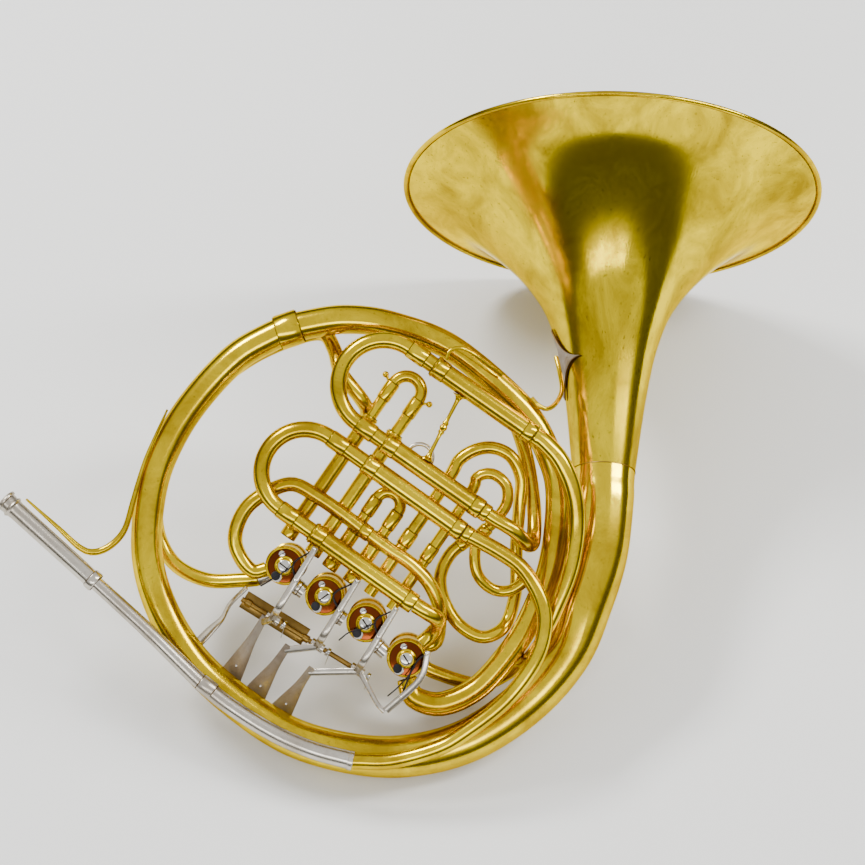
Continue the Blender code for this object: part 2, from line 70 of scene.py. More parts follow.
SLIDE_Z = 26.0
SLIDE_SLEEVE = 6.9
SLIDE_LEG = 5.8
SLIDE_RADII = (SLIDE_SLEEVE, SLIDE_LEG)
VALVE_SLIDE_ANGLE = 55.3
VALVE_SLIDE_START = 16
VALVE_SLIDE_Z = 2.0
VALVE_SLEEVE = 5.4
VALVE_LEG = 4.3
VALVE_RADII = (VALVE_SLEEVE, VALVE_LEG)
LOOP_HALF = 9.2

VALVES = [(-102.0, -92.0), (-74.5, -113.0), (-46.0, -131.5), (-18.0, -156.0)]
CASING_RADIUS = 13.8
CASING_BORE = CASING_RADIUS - 1.8
PORT_REACH = (CASING_RADIUS + 8.7, CASING_RADIUS + 0.2)
LINK_PIPE = 5.4
LINK_SHIFT = Vector((-0.58, -0.81, 0)) * 7.6
LINK_REACH = math.sqrt(CASING_RADIUS ** 2 - 2.4 ** 2) - 0.4
CASING_BACK = -30.0
CASING_FRONT = 18.0
PLATE_RADIUS = 13.0
PLATE_TOP = 21.3
SPINDLE_RADIUS = 3.0
HUB_RADIUS = 5.2
HUB_TOP = 26.5

HINGE_START = Vector((-133.0, -116.0, 6.0))
HINGE_END = Vector((-52.0, -166.0, 6.0))
ALONG_ROD = (HINGE_END - HINGE_START).normalized()
KNUCKLE_HEIGHT = 7.2
LEVER_THICKNESS = 1.8
SLOT_TURNS = [math.radians(turn) for turn in (-38, 35, -57, -58)]
LOOSE_ENDS = {
    1: [(0.5, -1, 5), (-8, -6.5, 5.5), (-16, -11.5, 4.7), (-22.5, -15.5, 5)],
    3: [(0.5, -1, 5), (-9, -5, 5.5), (-18, -7.5, 5), (-25, -13, 4)],
    4: [(0, -1, 5), (-5, -8, 5), (-12, -16, 2), (-19, -22, 1)],
}


# --- mesh helpers ---

def place(name, vertices, faces, look, body, smooth_angle=40):
    """A mesh piece given in horn millimetres, shaded smooth and riding on a body."""
    mesh = bpy.data.meshes.new(name)
    mesh.from_pydata([tuple(float(c) * MM for c in v) for v in vertices], [], faces)
    mesh.validate()
    mesh.transform(HORN)
    mesh.shade_smooth()
    mesh.set_sharp_from_angle(angle=math.radians(smooth_angle))
    mesh.materials.append(look)
    made = bpy.data.objects.new(name, mesh)
    bpy.context.collection.objects.link(made)
    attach(made, body)
    return made


def curve_through(points, radius=0.0):
    """Even samples of a Catmull-Rom curve; the last column is the radius or width."""
    p = np.array([tuple(q) for q in points], float)
    if p.shape[1] == 3:
        p = np.column_stack([p, np.full(len(p), float(radius))])
    if len(p) == 2:
        count = max(2, int(np.linalg.norm(p[1] - p[0]) / STEP) + 1)
        return np.linspace(p[0], p[1], count)
    ends = np.vstack([2 * p[0] - p[1], p, 2 * p[-1] - p[-2]])
    samples = []
    for a, b, c, d in zip(ends, ends[1:], ends[2:], ends[3:]):
        steps = max(3, int(np.linalg.norm((c - b)[:3]) / STEP) + 1)
        for t in np.arange(steps) / steps:
            samples.append(0.5 * (2 * b + (c - a) * t + (2 * a - 5 * b + 4 * c - d) * t * t
                                  + (3 * b - a - 3 * c + d) * t ** 3))
    return np.array(samples + [p[-1]])


def frames(path):
    """Centre, side and up at each station, with up carried along from +Z."""
    ahead = np.gradient(path, axis=0)
    up = Vector((0, 0, 1))
    result = []
    for station, step in zip(path, ahead):
        tangent = Vector(step).normalized()
        up = up - up.dot(tangent) * tangent
        if up.length < 1e-3:
            up = Vector((0, 1, 0)) - Vector((0, 1, 0)).dot(tangent) * tangent
        up.normalize()
        result.append((Vector(station), tangent.cross(up), up))
    return result


def skin(rings, closed=False, capped=True):
    """Vertices and faces over a row of equal rings."""
    vertices = [v for ring in rings for v in ring]
    n, rows, faces = len(rings[0]), len(rings), []
    for i in range(rows if closed else rows - 1):
        j = (i + 1) % rows
        faces += [(i * n + k, i * n + (k + 1) % n, j * n + (k + 1) % n, j * n + k) for k in range(n)]
    if capped and not closed:
        faces += [tuple(range(n))[::-1], tuple((rows - 1) * n + k for k in range(n))]
    return vertices, faces


def circle(where, radius, sides):
    centre, side, up = where
    return [centre + radius * (math.cos(k * math.tau / sides) * side + math.sin(k * math.tau / sides) * up)
            for k in range(sides)]


def tube(name, points, radius, look, body="horn", nodes=(), sides=TUBE_SIDES, hollow=True, samples=None):
    """A smooth pipe along the points; its open ends turn in over the wall."""
    path = curve_through(points, radius) if samples is None else samples
    stations = frames(path[:, :3])
    radii = path[:, 3].tolist()
    rings = [circle(s, r, sides) for s, r in zip(stations, radii)]
    if hollow:
        first, last = stations[0], stations[-1]
        start = [circle(first, radii[0] - w, sides) for w in (WALL, 0.15)]
        finish_rings = [circle(last, radii[-1] - w, sides) for w in (0.15, WALL)]
        depth = (stations[1][0] - first[0]).normalized() * LIP_DEPTH
        deep = [v + depth for v in start[0]]
        depth = (stations[-2][0] - last[0]).normalized() * LIP_DEPTH
        rings = [deep] + start + rings + finish_rings + [[v + depth for v in finish_rings[1]]]
    made = place(name, *skin(rings), look, body)
    if nodes:
        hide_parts(*nodes)


def turned(name, outline, look, body="horn", nodes=(), at=(0, 0, 0), axis=(0, 0, 1), sides=48, closed=False,
           smooth_angle=35):
    """Spins an outline of (radius, height) about an axis."""
    turn = Vector((0, 0, 1)).rotation_difference(Vector(axis)).to_matrix()
    at = Vector(at)
    rings = [[at + turn @ Vector((r * math.cos(k * math.tau / sides), r * math.sin(k * math.tau / sides), h))
              for k in range(sides)] for r, h in outline]
    made = place(name, *skin(rings, closed), look, body, smooth_angle)
    if nodes:
        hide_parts(*nodes)


def collar(name, at, axis, radius, length, thick, look, body="horn"):
    """A plain ferrule with rounded edges round a tube."""
    edge = min(thick * 0.5, length * 0.2)
    outline = [(radius - 0.3, 0), (radius + thick - edge, 0), (radius + thick, edge),
               (radius + thick, length - edge), (radius + thick - edge, length), (radius - 0.3, length)]
    turned(name, outline, look, body, at=at, axis=axis, sides=32)


def ferrule(name, at, axis, radius, look, body="horn", length=6.0, thick=0.6, bead=False):
    """A sleeve over a joint, with the dark line of a soldered seam at each end."""
    edge = 0.35
    outside = radius + thick
    outline = [(radius - 0.3, 0), (outside - edge * 0.5, 0), (outside, edge)]
    if bead:
        outline += [(outside, 0.4), (outside + 0.5, 0.8), (outside + 0.6, 1.3), (outside + 0.5, 1.8),
                    (outside, 2.2)]
    outline += [(outside, length - edge), (outside - edge * 0.5, length), (radius - 0.3, length)]
    turned(name, outline, look, body, at=at, axis=axis, sides=FERRULE_SIDES, smooth_angle=28)
    seam = [(radius - 0.3, -0.65), (radius + 0.22, -0.6), (radius + 0.26, 0.02), (radius - 0.3, 0.05),
            (radius - 0.3, length - 0.05), (radius + 0.26, length - 0.02), (radius + 0.22, length + 0.6),
            (radius - 0.3, length + 0.65)]
    turned(f"{name}_seam", seam, SOLDER, body, at=at, axis=axis, sides=FERRULE_SIDES)


def squared_to(across, path):
    """Stations whose side stays as near as it can to one given direction."""
    result = []
    for station, step in zip(path, np.gradient(path, axis=0)):
        tangent = Vector(step).normalized()
        side = (across - across.dot(tangent) * tangent).normalized()
        result.append((Vector(station), side, side.cross(tangent)))
    return result


def strip_piece(name, points, thickness, look, body, nodes=(), edge=0.45, across=None):
    """A flat bar with eased edges; the fourth value on each point is its width."""
    path = curve_through(points)
    rings = []
    stations = squared_to(across, path[:, :3]) if across else frames(path[:, :3])
    for (centre, side, up), width in zip(stations, path[:, 3].tolist()):
        w, t = width / 2, thickness / 2
        e = min(edge, t * 0.8, w * 0.8)
        section = [(-w + e, -t), (w - e, -t), (w, -t + e), (w, t - e), (w - e, t), (-w + e, t), (-w, t - e),
                   (-w, -t + e)]
        rings.append([centre + u * side + v * up for u, v in section])
    made = place(name, *skin(rings), look, body, 50)
    if nodes:
        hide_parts(*nodes)


# --- materials ---

EDGE_PALENESS = 0.7


def node(tree, kind, **values):
    """A shader node with its sockets or settings given by name."""
    made = tree.nodes.new(kind)
    for key, value in values.items():
        if key in made.inputs:
            made.inputs[key].default_value = value
        else:
            setattr(made, key, value)
    return made


def ramp(tree, source, stops):
    """Colours blended by a factor; stops are (position, colour)."""
    made = tree.nodes.new("ShaderNodeValToRGB")
    made.color_ramp.elements[0].position = stops[0][0]
    made.color_ramp.elements[0].color = (*stops[0][1], 1)
    made.color_ramp.elements[1].position = stops[-1][0]
    made.color_ramp.elements[1].color = (*stops[-1][1], 1)
    for position, colour in stops[1:-1]:
        made.color_ramp.elements.new(position).color = (*colour, 1)
    tree.links.new(source, made.inputs["Fac"])
    return made.outputs["Color"]


def aged_metal(name, slot, bright, tarnish, dark, rough, patch=14.0, cover=0.5, spots=0.35, metallic=1.0,
               grain=0.06, stretch=(1, 1, 1)):
    """Handled bare metal: broad tarnish clouds, small dark spots, fine scratches and uneven gloss."""
    made = bpy.data.materials.new(name)
    made["slot"] = slot
    made.use_nodes = True
    tree = made.node_tree
    shader = tree.nodes["Principled BSDF"]
    shader.inputs["Metallic"].default_value = metallic
    shader.inputs["Specular Tint"].default_value = (*(c ** EDGE_PALENESS for c in bright), 1)
    coordinates = tree.nodes.new("ShaderNodeTexCoord").outputs["Object"]
    mapping = node(tree, "ShaderNodeMapping")
    mapping.inputs["Scale"].default_value = stretch
    tree.links.new(coordinates, mapping.inputs["Vector"])
    clouds = node(tree, "ShaderNodeTexNoise", Scale=patch, Detail=8.0, Roughness=0.62, Distortion=0.6)
    specks = node(tree, "ShaderNodeTexNoise", Scale=patch * 14, Detail=5.0, Roughness=0.7)
    fine = node(tree, "ShaderNodeTexNoise", Scale=900.0, Detail=3.0, Roughness=0.6)
    scratches = node(tree, "ShaderNodeTexWave", Scale=60.0, Distortion=14.0, Detail=4.0)
    for texture in (clouds, specks, fine, scratches):
        tree.links.new(mapping.outputs["Vector"], texture.inputs["Vector"])
    between = tuple((a + b) / 2 for a, b in zip(bright, tarnish))
    stops = [(cover - 0.14, bright), (cover, between), (cover + 0.16, tarnish)]
    body = ramp(tree, clouds.outputs["Fac"], stops)
    mask = ramp(tree, specks.outputs["Fac"], [(0.60, (0, 0, 0)), (0.72, (spots,) * 3)])
    mix = node(tree, "ShaderNodeMix", data_type="RGBA")
    tree.links.new(mask, mix.inputs["Factor"])
    tree.links.new(body, mix.inputs["A"])
    mix.inputs["B"].default_value = (*dark, 1)
    tree.links.new(mix.outputs["Result"], shader.inputs["Base Color"])
    gloss = node(tree, "ShaderNodeMapRange")
    gloss.inputs["From Min"].default_value = 0.3
    gloss.inputs["From Max"].default_value = 0.75
    gloss.inputs["To Min"].default_value = rough[0]
    gloss.inputs["To Max"].default_value = rough[1]
    tree.links.new(clouds.outputs["Fac"], gloss.inputs["Value"])
    tree.links.new(gloss.outputs["Result"], shader.inputs["Roughness"])
    height = node(tree, "ShaderNodeMix", data_type="FLOAT")
    height.inputs["Factor"].default_value = 0.5
    tree.links.new(fine.outputs["Fac"], height.inputs["A"])
    tree.links.new(scratches.outputs["Fac"], height.inputs["B"])
    bump = node(tree, "ShaderNodeBump", Strength=grain, Distance=0.0003)
    tree.links.new(height.outputs["Result"], bump.inputs["Height"])
    tree.links.new(bump.outputs["Normal"], shader.inputs["Normal"])
    return made


BRASS = aged_metal("aged_brass", "brass", (0.90, 0.66, 0.003), (0.44, 0.28, 0.002), (0.10, 0.05, 0.004),
                   (0.10, 0.26), patch=20.0, cover=0.48, spots=0.5)
BELL_BRASS = aged_metal("bell_patina", "bell_brass", (0.93, 0.70, 0.001), (0.36, 0.24, 0.001),
                        (0.10, 0.06, 0.004), (0.07, 0.28), patch=16.0, cover=0.51, spots=1.0,
                        stretch=(2.0, 0.8, 1.4))
KEY = aged_metal("worn_key", "nickel_silver", (0.42, 0.37, 0.31), (0.24, 0.19, 0.15), (0.12, 0.09, 0.06),
                 (0.42, 0.6), patch=40.0, spots=0.6, metallic=0.85, grain=0.2)
NICKEL = aged_metal("nickel_silver", "nickel_silver", (0.66, 0.62, 0.54), (0.40, 0.35, 0.28),
                    (0.16, 0.12, 0.08), (0.16, 0.36), patch=22.0)
PLATE = aged_metal("polished_plate", "dark_fitting", (0.17, 0.038, 0.008), (0.09, 0.02, 0.005),
                   (0.04, 0.015, 0.008), (0.06, 0.2), patch=25.0, spots=0.1)
SADDLE = aged_metal("brown_brass", "dark_fitting", (0.28, 0.17, 0.04), (0.15, 0.085, 0.02),
                    (0.06, 0.03, 0.01), (0.26, 0.5), patch=30.0)
SOLDER = aged_metal("seam_line", "dark_fitting", (0.13, 0.07, 0.012), (0.07, 0.035, 0.008),
                    (0.03, 0.015, 0.005), (0.45, 0.65), patch=60.0)
STEEL = aged_metal("screw_steel", "nickel_silver", (0.80, 0.79, 0.76), (0.55, 0.53, 0.48), (0.2, 0.18, 0.15),
                   (0.08, 0.2), patch=60.0)
# Near-black for screw slots: painted shade standing in for the depth of the slot.
SLOT_SHADE = aged_metal("slot_shadow", "dark_fitting", (0.02, 0.015, 0.01), (0.03, 0.02, 0.01), (0.01, 0.01, 0.01),
                  (0.6, 0.8), metallic=0.2)
CORK = aged_metal("bumper_rubber", "string", (0.018, 0.018, 0.02), (0.03, 0.03, 0.034), (0.01, 0.01, 0.01),
                  (0.4, 0.6), patch=80.0, metallic=0.0, grain=0.4)
STRING = aged_metal("braided_string", "string", (0.012, 0.012, 0.014), (0.03, 0.028, 0.03),
                    (0.005, 0.005, 0.005), (0.75, 0.9), patch=300.0, metallic=0.0, grain=0.8)


# --- the bell and the long taper ---

def bell():
    """The flare inside and out, its rolled rim, and a thin dark line just inside the rim."""
    length = (BELL_MOUTH - BELL_SEAM).length
    curve = curve_through([(r, h, 0) for r, h in BELL_FLARE])
    outer = [(r, length - h) for r, h in curve[:, :2]]
    inner = [(r - WALL, h) for r, h in outer]
    turned("bell_flare_skin", outer + inner[::-1], BELL_BRASS, at=BELL_SEAM, axis=BELL_AXIS,
           sides=BELL_SIDES, closed=True, nodes=("bell_flare",))
    bead = [(BELL_RADIUS - 0.2 + BEAD_RADIUS * (1.0 - math.cos(math.tau * k / 16)),
             BEAD_RADIUS * math.sin(math.tau * k / 16)) for k in range(16)]
    turned("bell_rim_roll", bead, BRASS, at=BELL_MOUTH, axis=BELL_AXIS, sides=BELL_SIDES, closed=True,
           nodes=("bell_rim_bead",), smooth_angle=80)
    # A thin dark ring laid just inside the rim, darker than the brass round it.
    line = [(BELL_RADIUS - 0.9 + 0.55 * math.cos(math.tau * k / 10), 0.55 * math.sin(math.tau * k / 10))
            for k in range(10)]
    turned("bell_rim_dark_line", line, SOLDER, at=BELL_MOUTH, axis=BELL_AXIS, sides=BELL_SIDES, closed=True,
           smooth_angle=80)


def on_bell(from_mouth, turn_deg, lift):
    """A place over the bell's outside, by distance from the mouth and turn about its axis."""
    front = (Vector((0, 0, 1)) - BELL_AXIS.z * BELL_AXIS).normalized()
    side = BELL_AXIS.cross(front)
    flare = curve_through([(h, r, 0) for r, h in BELL_FLARE])
    radius = float(np.interp(from_mouth, flare[:, 0], flare[:, 1])) + lift
    turn = math.radians(turn_deg)
    return BELL_MOUTH - BELL_AXIS * from_mouth + (math.cos(turn) * front + math.sin(turn) * side) * radius


def main_spiral():
    """The bell tail round the ring, its ferrule, and the main branch inside it."""
    back = -BELL_AXIS
    tail = [(*(BELL_SEAM + back * 2 * GAP), SEAM_RADIUS), (*(BELL_SEAM + back * 10), 22),
            (120.5, -50, -13.5, 21.6), (116.5, -85, -3, 20.4), (107.5, -118, 1, 19), (94.5, -154, 1, 17),
            (67, -187, 0, 16.4), (30, -213, 0, 15.5), (-8, -225, 0, 15), (-48, -226, 0, 14.4),
            (-96, -214, 0, 13.6), (-136, -189, 0, 12.8), (-168, -159, 0, 12), (-190, -122, 0, 11.4),
            (-200, -83, 0, 10.9), (-196, -38, 0, 10.7), (-183, -4, 0, 10.6), (-163, 26, 0, 10.5),
            (-137, 53, 0, 10.5), (-112, 67.5, 0, 10.5), (-101.5, 71.6, 0, 10.5)]
    tube("bell_tail_pipe", tail, 0, BRASS, nodes=("bell_tail",), sides=48)
    branch = [(-99, 72.5, 0, 10.3), (-90, 75.1, 0, 10.3), (-66, 79, 0, 10.3), (-42, 78, 0, 10),
              (-21, 73, 0, 9.8), (0, 66, 0, 9.6), (18, 56, 0, 9.5), (43, 36, 0, 9.4), (66, 13, 0, 9.3),
              (80, -12, 0, 9.2), (88, -42, 0, 9.1), (83, -91, 0, 8.8), (68, -131, 0, 8.6),
              (53, -155, 0, 8.6), (31, -179, 0, 8.6), (6, -190, 0, 8.6), (-13, -185, 0, 8),
              (-18, -172.5, 0, 7)]
    tube("main_branch_pipe", branch, 0, BRASS, nodes=("main_branch",), sides=40)
    joint = Vector((-100.5, 71.9, 0))
    along_ring = Vector((1, 0.34, 0)).normalized()
    sleeve = [(11.0, -8), (11.9, -8), (12.3, -7.6), (12.3, 7.6), (11.9, 8), (11.0, 8)]
    turned("tail_ferrule_band", sleeve, BRASS, at=joint, axis=along_ring, nodes=("tail_ferrule",))
    ferrule("tail_ferrule_seams", joint - along_ring * 8, along_ring, 11.4, BRASS, length=16, thick=1.1)
    turned("bell_seam_line", [(SEAM_RADIUS - 0.2, -0.5), (SEAM_RADIUS + 0.35, -0.3),
                              (SEAM_RADIUS + 0.35, 0.3), (SEAM_RADIUS - 0.2, 0.5)], SADDLE,
           at=BELL_SEAM - BELL_AXIS * GAP, axis=BELL_AXIS, sides=64)


# --- mouthpipe ---

def mouthpipe():
    mouth, joint = Vector((-296, -46, 20)), Vector((-232, -104, 21))
    axis = (joint - mouth).normalized()
    length = (joint - mouth).length
    receiver = [(4.6, 0), (6.4, 0), (6.9, 0.3), (8.0, 0.8), (8.3, 1.7), (8.0, 2.6), (6.9, 3.2), (6.8, 6.6),
                (7.6, 7.3), (7.9, 8), (7.6, 8.7), (6.7, 9.6), (6.4, 12), (6.2, length - 7),
                (6.3, length - 6), (7.1, length - 5.4), (7.1, length - 0.4), (6.7, length), (5.4, length),
                (3.4, length - 20)]
    turned("mouthpiece_receiver_shell", receiver, NICKEL, at=mouth, axis=axis, closed=True,
           nodes=("mouthpiece_receiver",))
    start = joint + axis * GAP
    route = [(*start, 5), (-196, -137, 22, 5.2), (-159, -173, 22, 5.6), (-136, -191, 22.5, 5.8),
             (-108, -208, 23, 6), (-82, -219, 23.5, 6.2), (-56, -226, 24, 6.4)]
    tube("mouthpipe_pipe", route, 0, NICKEL, nodes=("mouthpipe",))
    second = Vector((-160, -172, 22))
    ferrule("mouthpipe_ring", second, Vector((24, -19, 0.4)), 5.6, NICKEL, length=11, thick=0.7)
    ferrule("mouthpipe_receiver_foot", joint - axis * 5.5, axis, 6.4, NICKEL, length=5, thick=0.9)
    end = Vector((-58, -225.6, 24))
    collar("mouthpipe_end_ferrule", end, Vector((26, -6, 0.5)), 6.3, 3.4, 0.5, NICKEL)
    onward = [(-54.6, -226.3, 24), (-28, -226, 25), (4, -217, 27), (24, -205, 29), (50, -184, 31),
              (70, -157, 32), (77, -133, 31), (74, -114, 29), (62, -94, 27), (46, -82, 26),
              (23.5, -69.6, 26)]
    tube("mouthpipe_extension_pipe", onward, 5.6, BRASS, nodes=("mouthpipe_extension",))
    stay = [(-281, -46, 18, 0.8), (-260, -65, 17, 1.6), (-244, -80, 15, 2.2), (-234, -83, 12, 2.5),
            (-223, -78, 10, 2.5), (-214, -67, 9, 2.3), (-208.5, -48, 8.6, 2), (-204, -32, 8.6, 1.7),
            (-198, -14, 8.6, 1.3), (-184.5, 16, 8.6, 0.8)]
    tube("mouthpipe_stay_wire", stay, 0, BRASS, nodes=("mouthpipe_stay",), sides=16, hollow=False)


# --- slides of the main tubing ---

def along(centre, angle, run, across, z):
    """A place at a run along a slide's direction and a distance across it."""
    turn = math.radians(angle)
    return (centre[0] + run * math.cos(turn) - across * math.sin(turn),
            centre[1] + run * math.sin(turn) + across * math.cos(turn), z)


def hairpin(centre, angle, legs_end, bend_at, half, z, steps=36):
    """Two straight legs joined by a half circle."""
    side = 1 if bend_at > legs_end else -1
    turn = [along(centre, angle, bend_at + side * half * math.sin(math.pi * k / steps),
                  half * math.cos(math.pi * k / steps), z) for k in range(steps + 1)]
    return [along(centre, angle, legs_end, half, z)] + turn + [along(centre, angle, legs_end, -half, z)]


def slide(name, centre, angle, sleeves, legs_end, bend_at, half, z, radii):
    """Fixed sleeves with end bands, and the crook with its ferrules."""
    sleeve, leg = radii
    side = 1 if bend_at > legs_end else -1
    out = Vector(along((0, 0), angle, side, 0, 0))
    for label, across, (low, high) in zip(("upper", "lower"), (half, -half), sleeves):
        ends = [along(centre, angle, low, across, z), along(centre, angle, high, across, z)]
        tube(f"{name}_{label}_sleeve_pipe", ends, sleeve, BRASS,
             nodes=(f"{name}_{label}_sleeve",), sides=32)
        mouth_run = low if side < 0 else high
        mouth = Vector(along(centre, angle, mouth_run + side * 0.2, across, z))
        ferrule(f"{name}_{label}_mouth_band", mouth, -out, sleeve, BRASS, length=9.5, thick=0.45, bead=True)
        foot_run = high if side < 0 else low
        foot = Vector(along(centre, angle, foot_run + side * 0.4, across, z))
        ferrule(f"{name}_{label}_foot_band", foot, out, sleeve, BRASS, length=7, thick=0.45)
        cap = Vector(along(centre, angle, bend_at - side * 0.5, across, z))
        ferrule(f"{name}_{label}_crook_ferrule", cap, -out, leg, BRASS, name, length=CROOK_BAND,
                thick=(sleeve - leg) * 0.6)
    route = hairpin(centre, angle, legs_end, bend_at, half, z)
    tube(f"{name}_crook_pipe", route, leg, BRASS, name, nodes=(f"{name}_crook",),
         samples=np.array([(*spot, leg) for spot in route]))


def port(number, angle, z):
    """The last two places of a tube that meets a valve casing at an angle."""
    x, y = VALVES[number - 1]
    turn = math.radians(angle)
    return [(x + r * math.cos(turn), y + r * math.sin(turn), z) for r in PORT_REACH]


def pipe_collars(name, ends, radius, look, length):
    """A ferrule at each given place: (point, direction)."""
    for index, (at, axis) in enumerate(ends, 1):
        ferrule(f"{name}_ferrule_{index}", Vector(at), Vector(axis), radius, look, length=length)


def main_slides():
    slide("main_slide", (-30, -69), -35.5, ((-41, 40.6), (-43, 42.7)), 30, -71, 29.9, SLIDE_Z, SLIDE_RADII)
    slide("horn_slide", (18, -4), -35, ((-42, 41), (-40, 41)), 30, -63, 31.4, SLIDE_Z, SLIDE_RADII)
    tube("main_slide_elbow_pipe", [(-12.1, -118.4, 26), (-4, -123.6, 25.5), (3.5, -129, 21), (3.5, -135, 14)]
         + port(4, 42, 10), 5.6, BRASS, nodes=("main_slide_elbow",))
    down = [(70.4, -2.3, 26, 6.4), (77.5, -7.6, 26, 6.6), (88, -20, 26, 6.6), (97, -41, 24, 6.6),
            (99.5, -66, 21, 6.4), (95, -96, 20, 6), (85, -123, 18.5, 5.2), (77, -141, 16, 4.2),
            (67.4, -156, 4, 3.7), (62, -163, -11, 3.9), (52, -172, -19, 4.5), (32, -179, -22, 4.8)]
    down += [(*spot, 5) for spot in port(4, -37, -21)]
    tube("slide_down_pipe", down, 0, BRASS, nodes=("slide_down_tube",))
    back = [(34.3, -53.7, 26), (42, -59, 26), (56, -67.5, 25), (67, -78, 15), (71, -72, 1), (71, -48, -10),
            (65, -12, -14), (52, 22, -18), (38, 40, -21), (12, 58, -22), (-20, 70, -21), (-52, 76, -20)]
    tube("return_pipe", back, 5.2, BRASS, nodes=("return_tube",))
    bow = [(-131.5, -90, 11), (-137, -77, 12), (-135, -63, 13), (-127, -50, 13), (-112, -40, 13),
           (-96, -36, 13), (-79, -45, 13), (-63, -56, 13), (-46.8, -68.6, 13)]
    tube("valve_one_bow_pipe", port(1, 192, 10)[::-1] + bow, 5.2, BRASS, nodes=("valve_one_bow",))
    link = [(-46, -69.3, 13), (-30, -81, 13), (-15, -91, 12.5), (-3, -104, 11.5), (4, -119, 8), (5, -132, 2)]
    tube("valve_four_link_pipe", link + port(4, 24, -5), 5, BRASS, nodes=("valve_four_link",))
    supply = [(-134, -104, -10), (-160, -104, -14), (-184, -92, -20), (-196, -66, -22), (-193, -30, -22),
              (-178, 2, -22), (-158, 30, -22), (-130, 52, -22), (-100, 66, -22), (-78, 70, -20),
              (-69, 58, -8), (-64, 42, 4), (-51, 25, 4), (-46, 16, -3), (-48, 6, -11), (-55, -5, -14)]
    tube("valve_one_inlet_pipe", port(1, 208, -8)[::-1] + supply, 5.2, BRASS, nodes=("valve_one_inlet",))
    pipe_collars("link", [((-49.5, -66.6, 13), (0.8, -0.6, 0))], 5.2, BRASS, 7)
    inlet = port(1, 208, -8)
    pipe_collars("inlet", [(inlet[1], Vector(inlet[0]) - Vector(inlet[1]))], 5.2, NICKEL, 9.5)
    pipe_collars("extension", [((25.6, -71.2, 26), (-0.82, 0.57, 0)), ((74.8, -5.6, 26), (-0.82, 0.57, 0)),
                               ((38, -56.2, 26), (-0.82, 0.57, 0))], 5.8, BRASS, 5)


# --- rotary valves ---

def screw(name, at, radius, height, turn, body="horn"):
    """A domed head; its slot is a near-black strip over the dome, painted shade standing in for the slot's
    depth.
    """
    dome = [(radius, 0), (radius, height * 0.5), (radius * 0.88, height * 0.85), (radius * 0.55, height),
            (0.05, height * 1.05)]
    turned(f"{name}_head", dome, STEEL, body, at=at, sides=28)
    reach = Vector((math.cos(turn), math.sin(turn), 0)) * radius * 0.92
    middle = Vector(at) + Vector((0, 0, height * 1.05 - 0.12))
    # The slot: a flat near-black strip laid on the dome, painted shade in place of a cut recess.
    strip_piece(f"{name}_slot", [(*(middle - reach), radius * 0.26), (*middle, radius * 0.26),
                                 (*(middle + reach), radius * 0.26)], 0.4, SLOT_SHADE, body)


